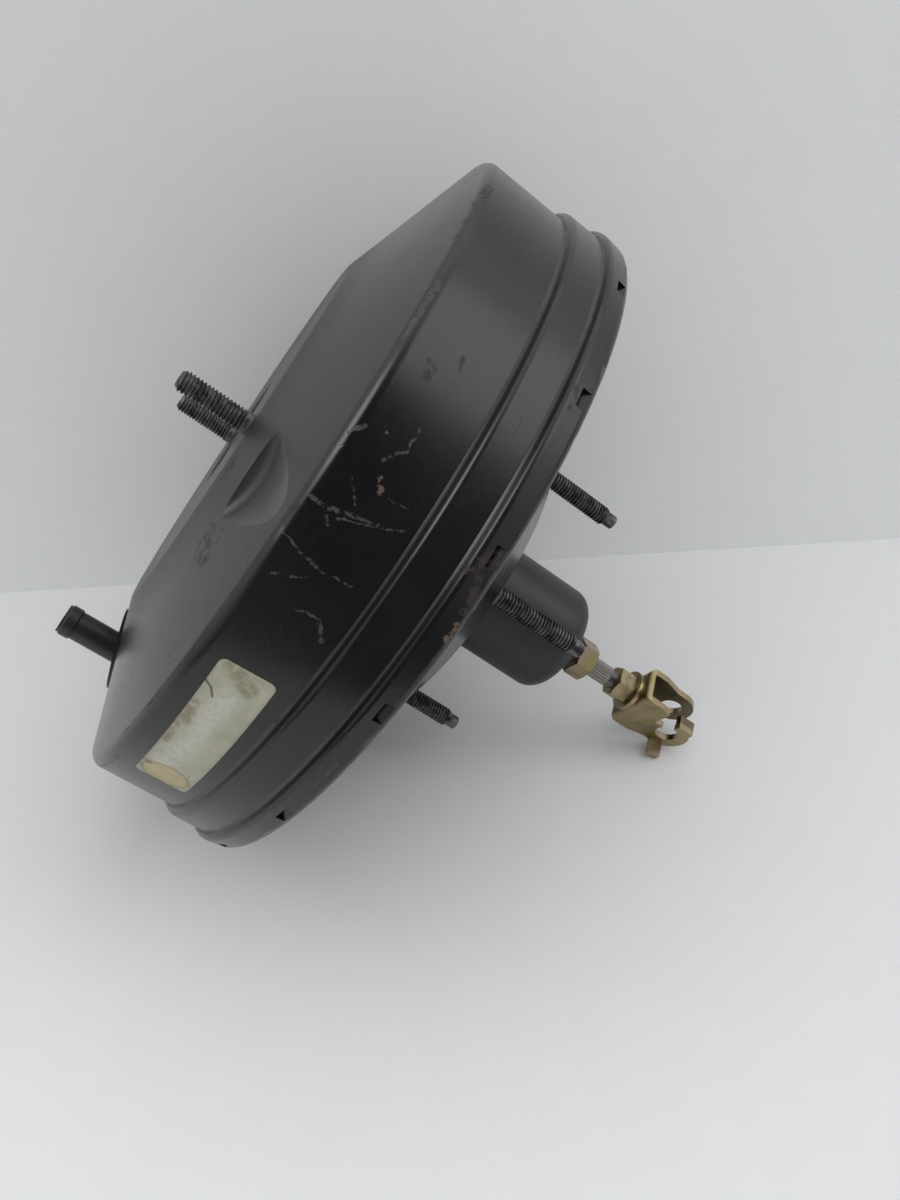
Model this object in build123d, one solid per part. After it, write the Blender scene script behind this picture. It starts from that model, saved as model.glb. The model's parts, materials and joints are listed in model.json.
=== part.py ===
from build123d import *
import os
from math import cos, hypot, pi, radians, sin

# Single-diaphragm vacuum brake booster. Millimetres.
# X runs along the booster: the pedal is at +X, the master cylinder at -X, and +Z is up.
# The origin is the centre of the rear face that bolts to the bulkhead.

# Fits
fit_gap = 0.05              # between pieces that are pressed or clamped together
loose_gap = 0.1
wall_gap = 0.5              # beside the front shell's wall
guide_clearance = 0.05
thread_clearance = 0.05
ball_clearance = 0.05
stud_clearance = 0.1

# Front shell, from the bulkhead face forwards
shell_wall = 1.6
skirt_setback = 28.5        # bulkhead face to the rolled rear edge
seam_band = 11.5            # rolled edge to the second joggle
middle_band = 14.3          # second joggle to the first
front_band = 31.7           # first joggle to the front corner
front_cone = 19.5           # front corner to the flat
front_radius = 137.0
flat_radius = 77.0
first_joggle = 3.0          # how far the skirt steps out, twice
second_joggle = 2.5
joggle_run = 2.5
joggle_bend = 0.5           # inside radius of the joggles' bends
edge_taper = 1.0
edge_curl = 3.5
edge_bend = 3.0
face_bend = 7.0             # from the flat to the cone
corner_bend = 4.5           # from the cone to the wall
press_bend = 2.6

# Scoops pressed in the front cone beside the master cylinder's studs
scoop_angle = 135.6
scoop_count = 2
scoop_inset = 18.0          # the flat's edge to the crease
scoop_reach = 35.0          # the crease to where the floor runs out
scoop_width = 36.0
scoop_depth = 5.0
scoop_bend = 4.0

# Lances: dents sheared in the skirt behind the rear shell's flange
lance_count = 16
lance_angle = 13.7
lance_width = 7.0
lance_length = 3.6
lance_bend = 2.4            # how far the dent goes in

# Rear shell
mount_margin = 10.0         # stud centres to the edge of the mounting face
rim_channel_depth = 9.0     # channel that reaches forward and squeezes the diaphragm's bead
rim_channel_width = 5.3
rim_shoulder = 34.0         # where the cone leaves the channel
neck_length = 16.0
neck_gap = 1.8              # between the neck's lip and the valve body
flat_bend = 6.0

# Studs: the same thread at both ends of the booster
stud_radius = 4.0
stud_head_radius = 6.5
stud_head_height = 3.0
stud_shoulder_radius = 4.4  # splined part that is pressed into its plate, flush with the shell
stud_spacing_y = 70.0
stud_spacing_z = 90.0
rear_stud_length = 44.0     # from the bulkhead face
dog_point_radius = 3.0
dog_point_length = 4.5
front_stud_count = 2
front_stud_inset = 18.0     # the flat's edge to the stud centres
front_stud_angle = 126.9
front_stud_length = 27.0    # from the flat face
stud_chamfer = 1.0
plate_thickness = 2.5
plate_margin = 3.0

# Seat for the master cylinder
spigot_radius = 22.5
spigot_depth = 10.0

# Vacuum nipple, midway on the cone
nipple_angle = -128.3
nipple_radius = 6.2
nipple_wall = 1.5
nipple_length = 27.0
nipple_bead_radius = 6.8
nipple_bead_length = 4.0
nipple_bead_setback = 1.5
nipple_inside = 3.0
nipple_flange_radial = 34.0
nipple_flange_across = 24.0
nipple_flange_thickness = 2.2

# Dust boot over the neck
boot_wall = 1.85
boot_clearance = 8.0        # behind the valve body's tube
boot_round = 8.0
boot_mouth = 14.5

# Valve body of the power piston
plunger_head_radius = 8.6
chamber_gap = 1.9           # round the plunger's head
seat_width = 2.5            # vacuum seat, a step in the bore
tube_wall = 3.5
boss_wall = 7.5             # how much thicker the boss is than the tube
boss_length = 19.0
boss_chamfer = 1.0
recess_depth = 10.0
chamber_front = 0.0
vacuum_seat = 12.0
piston_flange_width = 10.0
piston_flange_front = 15.0  # forward of the bulkhead face
piston_flange_thickness = 6.0

# Hub seal in the neck
seal_section = 4.15
seal_length = 5.0
seal_retainer_thickness = 1.0
seal_retainer_gap = 0.8

# Diaphragm and its plate
plate_wall = 1.4
plate_hub_width = 8.0
plate_rim_setback = 23.0    # how far the rim lies forward of the hub
plate_lip = 9.0
rubber = 2.0
bead_width = 6.0
hub_bead_width = 5.0
hub_bead_length = 5.4
fold_radius = 5.3           # rolling fold between the plate's rim and the shell's wall
fold_depth = 8.0            # bead to the bottom of the fold

# Output rod and its reaction disc
reaction_disc_thickness = 6.0
output_stem_radius = 6.0
output_tip_setback = 13.5   # flat face back to the tip at rest
output_screw_radius = 3.0
output_screw_thread = 12.0
output_tip_length = 10.0
output_tip_radius = 5.0
retainer_wall = 1.2
retainer_inset = 4.0        # inside the plate's hub
retainer_lip = 9.0

# Main return spring
spring_wire = 3.4
spring_clearance = 3.0      # round the retainer
spring_turns = 6.5

# Valve plunger and stop key
plunger_radius = 6.0
plunger_gap = 2.0           # plunger to reaction disc at rest
plunger_neck_radius = 3.4
valve_travel = 1.6
seat_gap = 0.3
key_thickness = 2.5
key_width = 12.0
key_overlap = 4.0           # how far it reaches over the rear plate
key_tail = 8.0
key_play = 0.4

# Poppet valve, its retainer and springs
poppet_lift = 0.6
poppet_thickness = 3.0
poppet_bore = 5.5
poppet_shoulder = 2.6       # from the tube's bore in to the waist
poppet_waist_wall = 1.4
poppet_length = 12.4
poppet_bead = 3.0
cup_wall = 1.0
cup_length = 6.0
cup_bore = 6.2
poppet_wire = 1.0
poppet_spring_gap = 1.3     # inside the waist
poppet_turns = 4.5
rod_wire = 1.6
rod_spring_gap = 1.65       # inside the cup
rod_spring_length = 13.95
rod_turns = 4.5

# Air filter and silencer in the tube's mouth
filter_length = 4.0
silencer_length = 3.5
filter_bore = 7.5
filter_setback = 0.5

# Input rod
ball_radius = 5.0
ball_place = 8.0
ball_neck_radius = 3.2
rod_radius = 4.0
rod_collar_gap = 2.2        # inside the tube's bore
rod_collar_thickness = 2.0
rod_collar_clearance = 2.0  # collar to filter
knurl_radius = 4.6
knurl_length = 12.0
adjuster_clearance = 7.5    # boot to nut
adjuster_flats = 16.0
adjuster_length = 8.5
adjuster_turn = 27.6
rod_bare = 3.0              # knurl to lock nut
lock_nut_flats = 13.0
lock_nut_length = 9.0
lock_nut_flange_radius = 9.6
lock_nut_flange = 2.0
nut_chamfer = 1.2
thread_past = 3.0           # rod showing inside the clevis

# Clevis: a stamped yoke
clevis_sheet = 3.0
clevis_gap = 12.0
clevis_half_width = 13.0
clevis_bend = 4.2
pin_reach = 24.0            # clevis base to pin
pin_bore = 5.1
eye_radius = 10.3
ear_straight = 10.0
ear_blend = 9.0
ear_corner = 3.0
hook_opening = 9.0          # how wide the near ear's hook opens
hook_depth = 2.5
hook_tab_width = 8.0
hook_tab_reach = 7.0
hook_tab_gap = 0.6
foot_width = 6.0
foot_reach = 8.0
foot_offset = 1.0

# Radii that follow, from the axis outwards
chamber_radius = plunger_head_radius + chamber_gap
tube_bore = chamber_radius + seat_width
tube_radius = tube_bore + tube_wall
boss_radius = tube_radius + boss_wall
piston_flange_radius = boss_radius + piston_flange_width
plate_hub_radius = piston_flange_radius + plate_hub_width
neck_inside = tube_radius + seal_section
neck_radius = neck_inside + fit_gap + shell_wall
rear_plate_inner = neck_radius + press_bend + loose_gap
mount_radius = hypot(stud_spacing_y / 2, stud_spacing_z / 2) + mount_margin
front_stud_radius = flat_radius - front_stud_inset
nipple_circle = (flat_radius + front_radius) / 2
middle_radius = front_radius + first_joggle
seam_radius = middle_radius + second_joggle
edge_radius = seam_radius - edge_taper
bead_radius = middle_radius - shell_wall - wall_gap
flange_radius = edge_radius - shell_wall - wall_gap
fold_outer = front_radius - shell_wall - wall_gap - rubber
fold_inner = fold_outer - 2 * (fold_radius + loose_gap)
plate_rim_radius = fold_inner - rubber - fit_gap

# Places along the axis that follow, from the front backwards
rear_edge = -skirt_setback
joggle_2 = rear_edge - seam_band
joggle_1 = joggle_2 - middle_band
corner = joggle_1 - front_band
face = corner - front_cone
inner_face = face + shell_wall
front_plate_back = inner_face + plate_thickness
rear_plate_front = -shell_wall - plate_thickness
flange_back = joggle_2 + joggle_run + 2 * shell_wall
channel_front = flange_back - rim_channel_depth
bead_back = channel_front - shell_wall - fit_gap
bead_front = joggle_1 + joggle_run + shell_wall
lance_front = flange_back + wall_gap / 2
lance_back = lance_front + lance_length
piston_front = -piston_flange_front
boss_front = piston_front - boss_length
recess_floor = boss_front + recess_depth
plate_front = piston_front - plate_wall
retainer_front = plate_front - retainer_wall
poppet_front = vacuum_seat + poppet_lift
poppet_seat = poppet_front + poppet_thickness
poppet_back = poppet_front + poppet_length
cup_front = poppet_back + fit_gap
rod_collar_front = cup_front + cup_wall + rod_spring_length
rod_collar_back = rod_collar_front + rod_collar_thickness
filter_front = rod_collar_back + rod_collar_clearance
silencer_front = filter_front + filter_length
silencer_back = silencer_front + silencer_length
tube_end = silencer_back + filter_setback
boot_end = tube_end + boot_clearance
adjuster_front = boot_end + adjuster_clearance
knurl_front = adjuster_front + adjuster_length
knurl_back = knurl_front + knurl_length
lock_nut_front = knurl_back + rod_bare
lock_nut_back = lock_nut_front + lock_nut_length
clevis_base = lock_nut_back + lock_nut_flange
rod_end = clevis_base + clevis_sheet + thread_past
pin_place = clevis_base + pin_reach


def ring(start, end, inner, outer):
    """A plain ring about the booster's axis."""
    profile = Rectangle(end - start, outer - inner)
    return revolve(Pos((start + end) / 2, (inner + outer) / 2) * profile, Axis.X)


def bar(start, end, radius):
    """A plain round bar on the booster's axis."""
    return ring(start, end, 0, radius)


def turned(*points):
    """A turned piece: its outline (x, radius), closed and spun about the axis."""
    return revolve(make_face(Polyline(*points, close=True)), Axis.X)


def side_of(start, end):
    """Unit vector to the right of a run of an outline."""
    run = Vector(*end) - Vector(*start)
    return Vector(run.Y, -run.X).normalized()


def moved_outline(points, distance):
    """The outline moved to its right by a distance, mitred at the corners."""
    sides = [side_of(a, b) for a, b in zip(points, points[1:])]
    moved = [Vector(*points[0]) + sides[0] * distance]
    for point, before, after in zip(points[1:-1], sides, sides[1:]):
        mitre = (before + after) * (distance / (1 + before.dot(after)))
        moved.append(Vector(*point) + mitre)
    moved.append(Vector(*points[-1]) + sides[-1] * distance)
    return [(point.X, point.Y) for point in moved]


def moved_bends(points, bends, distance):
    """Bend radii of the moved outline: smaller inside a bend, larger outside it."""
    result = []
    for before, corner_point, after, bend in zip(points, points[1:], points[2:], bends):
        first = side_of(before, corner_point)
        second = side_of(corner_point, after)
        turns_right = first.X * second.Y - first.Y * second.X < 0
        result.append(bend - distance if turns_right else bend + distance)
    return result


def pressed(points, bends, wall):
    """Sheet bent along an outline and spun: the wall lies to the outline's right."""
    outside = FilletPolyline(*points, radius=bends)
    inner_points = moved_outline(points, wall)
    inside = FilletPolyline(*inner_points, radius=moved_bends(points, bends, wall))
    first_end = Line(points[0], inner_points[0])
    last_end = Line(points[-1], inner_points[-1])
    return revolve(make_face([outside, inside, first_end, last_end]), Axis.X)


def coil(start, end, radius, wire, turns):
    """A helical spring between two seats, made of six-sided wire."""
    length = end - start - wire
    helix = Helix(length / turns, length, radius, (start + wire / 2, 0, 0), (1, 0, 0))
    section = Plane(helix @ 0, z_dir=helix % 0) * RegularPolygon(wire / 2, 6)
    return sweep(section, helix, is_frenet=True)


def hex_nut(start, end, flats, bore):
    """A hexagon nut with both ends chamfered."""
    hexagon = RegularPolygon(flats / 2, 6, major_radius=False)
    prism = extrude(Plane.YZ.offset(start) * hexagon, end - start)
    across = flats / 2 / cos(pi / 6)
    crown = turned(
        (start, 0), (start, across - nut_chamfer), (start + nut_chamfer / 2, across),
        (end - nut_chamfer / 2, across), (end, across - nut_chamfer), (end, 0),
    )
    return (prism & crown) - bar(start, end, bore)


def on_circle(radius, angle):
    """A point (y, z) on a circle about the axis. Angles are from +Y towards +Z."""
    return radius * cos(radians(angle)), radius * sin(radians(angle))


def around(shape, count, first):
    """Copies of a shape, evenly spaced about the axis."""
    return [Rot(first + 360 / count * index, 0, 0) * shape for index in range(count)]


# Places of the studs and of the nipple

front_stud_places = [
    on_circle(front_stud_radius, front_stud_angle + 360 / front_stud_count * index)
    for index in range(front_stud_count)
]
rear_stud_places = [
    (side * stud_spacing_y / 2, level * stud_spacing_z / 2)
    for side in (-1, 1)
    for level in (-1, 1)
]
nipple_middle = Pos(0, *on_circle(nipple_circle, nipple_angle))


def stud_holes(places, start, end):
    """Holes for the studs' shoulders, from start to end along the axis."""
    hole = bar(start, end, stud_shoulder_radius + stud_clearance)
    return [Pos(0, y, z) * hole for y, z in places]


# Shell of the vacuum side

front_outline = [
    (face + spigot_depth, spigot_radius),
    (face, spigot_radius),
    (face, flat_radius),
    (corner, front_radius),
    (joggle_1, front_radius),
    (joggle_1 + joggle_run, middle_radius),
    (joggle_2, middle_radius),
    (joggle_2 + joggle_run, seam_radius),
    (rear_edge, edge_radius),
    (rear_edge, edge_radius - edge_curl),
]
joggle_bends = [joggle_bend, joggle_bend + shell_wall]
front_bends = [press_bend, face_bend, corner_bend, *joggle_bends, *joggle_bends, edge_bend]


def cone_at(radius):
    """Where the front cone's outside lies at a radius."""
    return corner - front_cone * (front_radius - radius) / (front_radius - flat_radius)


def skirt_at(place):
    """Outside radius of the tapered skirt at a place along the axis."""
    start = joggle_2 + joggle_run
    return seam_radius - edge_taper * (place - start) / (rear_edge - start)


def front_envelope():
    """All that the front shell's outside encloses."""
    outside = FilletPolyline(*front_outline[1:9], radius=front_bends[1:7])
    closing = Polyline(front_outline[8], (rear_edge, 0), (face, 0), front_outline[1])
    return revolve(make_face([outside, closing]), Axis.X)


def scoop(growth):
    """The space of one scoop: a round bar sunk slantwise in the cone, grown by a wall."""
    crease = flat_radius + scoop_inset
    run_out = crease + scoop_reach
    floor_start = Vector(cone_at(crease) + scoop_depth, crease)
    floor_end = Vector(cone_at(run_out), run_out)
    along = (floor_end - floor_start).normalized()
    outwards = Vector(-along.Y, along.X)
    radius = (scoop_width ** 2 / 4 + scoop_depth ** 2) / (2 * scoop_depth)
    inner_end = Plane(floor_start + outwards * radius - along * growth, z_dir=along)
    blank = extrude(inner_end * Circle(radius + growth), scoop_reach + growth)
    crease_edge = blank.edges().filter_by(GeomType.CIRCLE).sort_by(Axis.Y)[0]
    return fillet(crease_edge, scoop_bend + growth)


def lance_floor():
    """Sheet under one dent, from the skirt's wall in to the rear shell's flange."""
    back = skirt_at(lance_back)
    front = skirt_at(lance_front)
    profile = Polyline(
        (lance_back, back - shell_wall / 2), (lance_front, front - shell_wall / 2),
        (lance_front, front - lance_bend - shell_wall), (lance_back, back - shell_wall), close=True,
    )
    return extrude(make_face(profile), lance_width / 2 + shell_wall, both=True)


def lance_dent():
    """One dent: it ramps in from the rear to a sheared step at its front."""
    back = skirt_at(lance_back)
    front = skirt_at(lance_front)
    profile = Polyline(
        (lance_back, back), (lance_front, front - lance_bend),
        (lance_front, front + shell_wall), (lance_back, back + shell_wall), close=True,
    )
    return extrude(make_face(profile), lance_width / 2, both=True)


def front_shell():
    shell = pressed(front_outline, front_bends, shell_wall)
    envelope = front_envelope()
    spaces = around(scoop(0), scoop_count, scoop_angle)
    skins = around(scoop(shell_wall), scoop_count, scoop_angle)
    for space, skin in zip(spaces, skins):
        shell = (shell + (skin & envelope)) - space
    nipple_hole = nipple_middle * bar(face, corner, nipple_radius + loose_gap)
    shell = shell - nipple_hole - stud_holes(front_stud_places, face, inner_face)
    shell = shell + around(lance_floor(), lance_count, lance_angle)
    return shell - around(lance_dent(), lance_count, lance_angle)


def rear_shell():
    channel_outer = bead_radius - shell_wall
    channel_inner = channel_outer - rim_channel_width
    outline = [
        (flange_back, flange_radius),
        (flange_back, channel_outer),
        (channel_front, channel_outer),
        (channel_front, channel_inner),
        (-rim_shoulder, channel_inner),
        (0, mount_radius),
        (0, neck_radius),
        (neck_length, neck_radius),
        (neck_length, tube_radius + neck_gap),
    ]
    channel_bend = rim_channel_width / 2 - loose_gap
    bends = [press_bend, channel_bend, channel_bend, flat_bend, flat_bend, press_bend, press_bend]
    shell = pressed(outline, bends, shell_wall)
    return shell - stud_holes(rear_stud_places, -shell_wall, 0)


def front_plate():
    inner = spigot_radius + press_bend + loose_gap
    plate = ring(inner_face, front_plate_back, inner, flat_radius - face_bend)
    return plate - stud_holes(front_stud_places, inner_face, front_plate_back)


def rear_plate():
    plate = ring(rear_plate_front, -shell_wall, rear_plate_inner, mount_radius - plate_margin)
    return plate - stud_holes(rear_stud_places, rear_plate_front, -shell_wall)


# Studs

stud_grip = plate_thickness + shell_wall


def stud(length, point_radius, point_length):
    """A stud along +X from the shell's outside, with its head behind the plate, and a plain point."""
    point = length - point_length
    return turned(
        (-stud_grip - stud_head_height, 0),
        (-stud_grip - stud_head_height, stud_head_radius),
        (-stud_grip, stud_head_radius),
        (-stud_grip, stud_shoulder_radius),
        (0, stud_shoulder_radius),
        (0, stud_radius),
        (point - stud_chamfer, stud_radius),
        (point, point_radius),
        (length, point_radius),
        (length, 0),
    )


def front_studs():
    chamfer_end = stud_radius - stud_chamfer
    blank = Rot(0, 180, 0) * stud(front_stud_length, chamfer_end, stud_chamfer / 2)
    return Compound([Pos(face, y, z) * blank for y, z in front_stud_places])


def rear_studs():
    blank = stud(rear_stud_length, dog_point_radius, dog_point_length)
    return Compound([Pos(0, y, z) * blank for y, z in rear_stud_places])


# Vacuum nipple

nipple_seat = cone_at(nipple_circle)
nipple_tip = nipple_seat - nipple_length


def vacuum_nipple():
    bead_start = nipple_tip + nipple_bead_setback
    bead_end = bead_start + nipple_bead_length
    flare = nipple_bead_radius - nipple_radius
    back = nipple_seat + nipple_inside
    tube = turned(
        (nipple_tip, 0), (nipple_tip, nipple_radius), (bead_start - flare, nipple_radius),
        (bead_start, nipple_bead_radius), (bead_end, nipple_bead_radius),
        (bead_end + flare, nipple_radius), (back, nipple_radius), (back, 0),
    )
    return nipple_middle * (tube - bar(nipple_tip, back, nipple_radius - nipple_wall))


def nipple_flange():
    """An oval plate, curved to lie on the cone."""
    inner = nipple_circle - nipple_flange_radial / 2 - plate_margin
    outer = nipple_circle + nipple_flange_radial / 2 + plate_margin
    layer = turned(
        (cone_at(inner), inner), (cone_at(outer), outer),
        (cone_at(outer) - nipple_flange_thickness, outer),
        (cone_at(inner) - nipple_flange_thickness, inner),
    )
    oval = Ellipse(nipple_flange_radial / 2, nipple_flange_across / 2)
    blank = extrude(Plane.YZ.offset(nipple_tip) * Pos(nipple_circle, 0) * oval, corner - nipple_tip)
    tube = nipple_middle * bar(nipple_tip, corner, nipple_radius + fit_gap)
    return Rot(nipple_angle, 0, 0) * (layer & blank) - tube


# Neck: seal, bushing and boot

seal_front = press_bend + loose_gap
seal_back = seal_front + seal_retainer_thickness + seal_length


def seal_retainer():
    bore = tube_radius + seal_retainer_gap
    return ring(seal_front, seal_front + seal_retainer_thickness, bore, neck_inside)


def hub_seal():
    start = seal_front + seal_retainer_thickness + fit_gap
    return ring(start, seal_back, tube_radius + guide_clearance, neck_inside)


def hub_bushing():
    start = seal_back + fit_gap
    end = neck_length - shell_wall - fit_gap
    inner = tube_radius + guide_clearance
    bevel = press_bend - shell_wall
    return turned(
        (start, inner), (start, neck_inside), (end - bevel, neck_inside),
        (end, neck_inside - bevel), (end, inner),
    )


def dust_boot():
    outside = neck_radius + fit_gap + boot_wall
    outline = [(press_bend + loose_gap, outside), (boot_end, outside), (boot_end, boot_mouth)]
    return pressed(outline, [boot_round], boot_wall)


# Power piston

key_back = rear_plate_front - key_play
key_front = key_back - key_thickness


def key_slot(height, side):
    """Room for the stop key's travel on one side of the axis."""
    length = key_thickness + valve_travel
    slot = Box(length, key_width + 2 * loose_gap, height, align=(Align.MAX, Align.CENTER, side))
    return Pos(key_back + loose_gap, 0, 0) * slot


def valve_body():
    boss = turned(
        (boss_front, 0), (boss_front, boss_radius - boss_chamfer),
        (boss_front + boss_chamfer, boss_radius), (piston_front, boss_radius), (piston_front, 0),
    )
    flange = bar(piston_front, piston_front + piston_flange_thickness, piston_flange_radius)
    tube = bar(piston_front, tube_end, tube_radius)
    disc_space = bar(boss_front, recess_floor, tube_bore)
    guide = bar(recess_floor, chamber_front, plunger_radius + guide_clearance)
    chamber = bar(chamber_front, vacuum_seat, chamber_radius)
    mouth = bar(vacuum_seat, tube_end, tube_bore)
    body = boss + flange + tube - disc_space - guide - chamber - mouth
    return body - key_slot(tube_radius, Align.MIN) - key_slot(key_tail + loose_gap, Align.MAX)


def stop_key():
    """A forked plate across the valve body: it straddles the plunger's waist."""
    reach = rear_plate_inner + key_overlap
    from_axis = (Align.MAX, Align.CENTER, Align.MIN)
    blank = Pos(0, 0, -key_tail) * Box(key_thickness, key_width, reach + key_tail, align=from_axis)
    gap = plunger_neck_radius + loose_gap
    fork = Box(key_thickness, 2 * gap, key_tail, align=(Align.MAX, Align.CENTER, Align.MAX))
    eye = bar(-key_thickness, 0, gap)
    return Pos(key_back, 0, 0) * (blank - fork - eye)


plate_line = [
    (piston_front - plate_rim_setback - plate_lip, plate_rim_radius),
    (piston_front - plate_rim_setback, plate_rim_radius),
    (piston_front, plate_hub_radius),
    (piston_front, boss_radius + loose_gap),
]


def diaphragm_plate():
    return pressed(plate_line, [flat_bend, flat_bend], plate_wall)


def diaphragm():
    """Rubber sheet on the plate's rear, a rolling fold, and a bead at each edge."""
    covered = moved_outline(plate_line, -(fit_gap + rubber))
    rim = covered[1]
    hub = covered[2]
    fold_bottom = bead_front - fold_depth
    bead_inner = piston_flange_radius + fit_gap
    line = [
        (bead_front + rubber, fold_outer), (fold_bottom, fold_outer), (fold_bottom, fold_inner),
        rim, hub, (hub[0], bead_inner),
    ]
    cover_bend = flat_bend + fit_gap + rubber
    sheet = pressed(line, [fold_radius, fold_radius, cover_bend, cover_bend], rubber)
    outer_bead = ring(bead_front, bead_back, bead_radius - bead_width, bead_radius)
    start = piston_front + fit_gap
    hub_bead = ring(start, start + hub_bead_length, bead_inner, bead_inner + hub_bead_width)
    return sheet + outer_bead + hub_bead


def reaction_disc():
    return bar(recess_floor - reaction_disc_thickness, recess_floor, tube_bore - loose_gap)


output_tip = face + output_tip_setback
output_nose = output_tip + output_tip_length
output_head_back = recess_floor - reaction_disc_thickness


def output_rod():
    head = bar(boss_front, output_head_back, tube_bore - loose_gap)
    stem = bar(output_nose, boss_front, output_stem_radius)
    socket = bar(output_nose, output_nose + output_screw_thread, output_screw_radius + fit_gap)
    return head + stem - socket


def output_screw():
    shank = bar(output_nose, output_nose + output_screw_thread, output_screw_radius)
    nose = bar(output_tip, output_nose, output_tip_radius)
    return shank + fillet(nose.edges().group_by(Axis.X)[0], output_tip_radius / 2)


def rod_retainer():
    """Pressed cup over the boss: it keeps the output rod's head in and seats the spring."""
    line = [
        (plate_front, plate_hub_radius - retainer_inset),
        (plate_front, boss_radius + loose_gap),
        (boss_front - loose_gap, boss_radius + loose_gap),
        (boss_front - loose_gap, retainer_lip),
    ]
    return pressed(line, [retainer_wall + loose_gap, boss_chamfer], retainer_wall)


def return_spring():
    radius = boss_radius + loose_gap + retainer_wall + spring_clearance + spring_wire / 2
    return coil(front_plate_back, retainer_front, radius, spring_wire, spring_turns)


# Control valve


def valve_plunger():
    """Air valve: a stem in the valve body's guide, a waist for the key, a socket for the ball."""
    front = recess_floor + plunger_gap
    waist_front = key_front - valve_travel
    waist_back = key_back + valve_travel + seat_gap
    head_front = chamber_front + valve_travel + seat_gap
    back = poppet_front - seat_gap
    blank = turned(
        (front, 0), (front, plunger_radius),
        (waist_front, plunger_radius), (waist_front, plunger_neck_radius),
        (waist_back, plunger_neck_radius), (waist_back, plunger_radius),
        (head_front, plunger_radius), (head_front, plunger_head_radius),
        (back, plunger_head_radius), (back, 0),
    )
    socket = Pos(ball_place, 0, 0) * Sphere(ball_radius + ball_clearance)
    mouth = bar(ball_place, back, ball_radius + ball_clearance)
    return blank - socket - mouth


waist_outside = tube_bore - poppet_shoulder
waist_inside = waist_outside - poppet_waist_wall
cup_outside = tube_bore - fit_gap
cup_inside = cup_outside - cup_wall


def poppet_valve():
    face_disc = ring(poppet_front, poppet_seat, poppet_bore, tube_bore - seat_gap)
    waist = ring(poppet_seat, poppet_back, waist_inside, waist_outside)
    bead = ring(poppet_back - poppet_bead, poppet_back, waist_inside, tube_bore - fit_gap)
    return face_disc + waist + bead


def poppet_retainer():
    base = ring(cup_front, cup_front + cup_wall, cup_bore, cup_outside)
    wall = ring(cup_front, cup_front + cup_length, cup_inside, cup_outside)
    return base + wall


def poppet_spring():
    radius = waist_inside - poppet_spring_gap - poppet_wire / 2
    return coil(poppet_seat, cup_front, radius, poppet_wire, poppet_turns)


def rod_spring():
    radius = cup_inside - rod_spring_gap - rod_wire / 2
    return coil(cup_front + cup_wall, rod_collar_front, radius, rod_wire, rod_turns)


def silencer():
    return ring(silencer_front, silencer_back, filter_bore, tube_bore - fit_gap)


def air_filter():
    return ring(filter_front, silencer_front, filter_bore, tube_bore - fit_gap)


# Input rod and what is screwed on it


def input_rod():
    neck_back = ball_place + 2 * ball_radius
    ball = Pos(ball_place, 0, 0) * Sphere(ball_radius)
    neck = bar(ball_place, neck_back, ball_neck_radius)
    shank = bar(neck_back, rod_end, rod_radius)
    collar = bar(rod_collar_front, rod_collar_back, tube_bore - rod_collar_gap)
    knurl = bar(knurl_front, knurl_back, knurl_radius)
    return ball + neck + shank + collar + knurl


def adjusting_nut():
    nut = hex_nut(adjuster_front, knurl_front, adjuster_flats, rod_radius + thread_clearance)
    return Rot(adjuster_turn, 0, 0) * nut


def lock_nut():
    bore = rod_radius + thread_clearance
    flange = ring(lock_nut_back, clevis_base, bore, lock_nut_flange_radius)
    return hex_nut(lock_nut_front, lock_nut_back, lock_nut_flats, bore) + flange


# Clevis

ear_face = clevis_gap / 2 + clevis_sheet
clevis_end = pin_place + eye_radius
low_corner = (Align.MIN, Align.MIN, Align.MIN)


def clevis_strip():
    """The bent strip seen from above: a base and two ears, as tall as the widest part."""
    outside = Rectangle(clevis_end - clevis_base, 2 * ear_face, align=(Align.MIN, Align.CENTER))
    outside = fillet(outside.vertices().group_by(Axis.X)[0], clevis_bend)
    inside = Rectangle(clevis_end - clevis_base, clevis_gap, align=(Align.MIN, Align.CENTER))
    inside = fillet(inside.vertices().group_by(Axis.X)[0], clevis_bend - clevis_sheet)
    profile = outside - Pos(clevis_sheet, 0) * inside
    return Pos(clevis_base, 0, 0) * extrude(profile, clevis_half_width, both=True)


def ear_outline():
    """One ear seen from the side: a wide root that narrows to a round eye."""
    shoulder = clevis_base + ear_straight
    narrow = shoulder + ear_blend
    root = Polyline(
        (clevis_base, clevis_half_width), (shoulder, clevis_half_width), (narrow, eye_radius),
        (pin_place, eye_radius), (pin_place, -eye_radius), (narrow, -eye_radius),
        (shoulder, -clevis_half_width), (clevis_base, -clevis_half_width), close=True,
    )
    blank = make_face(root)
    blank = fillet(blank.vertices().group_by(Axis.X)[0], ear_corner)
    return blank + Pos(pin_place, 0) * Circle(eye_radius)


def hook_cut():
    """Opening over the near ear's eye, between its shoulder and the bent tab."""
    height = clevis_half_width - hook_depth
    opening = Box(hook_opening, clevis_sheet, height, align=low_corner)
    return Pos(pin_place - hook_opening, -ear_face, hook_depth) * opening


def tab_trim():
    """What the near ear's tab is bent out of: nothing is left above it."""
    bottom = pin_bore + hook_tab_gap
    trim = Box(eye_radius, clevis_sheet, clevis_half_width - bottom, align=low_corner)
    return Pos(pin_place, -ear_face, bottom) * trim


def hook_tab():
    """Tab of the near ear, bent in over the pin."""
    tab = Box(hook_tab_width, hook_tab_reach, clevis_sheet, align=low_corner)
    return Pos(pin_place, -ear_face, pin_bore + hook_tab_gap) * tab


def foot_tab():
    """Tab of the near ear, bent out under the eye."""
    from_ear = (Align.CENTER, Align.MAX, Align.MIN)
    tab = Box(foot_width, foot_reach + clevis_sheet, clevis_sheet, align=from_ear)
    return Pos(pin_place + foot_offset, clevis_sheet - ear_face, -eye_radius) * tab


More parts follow.
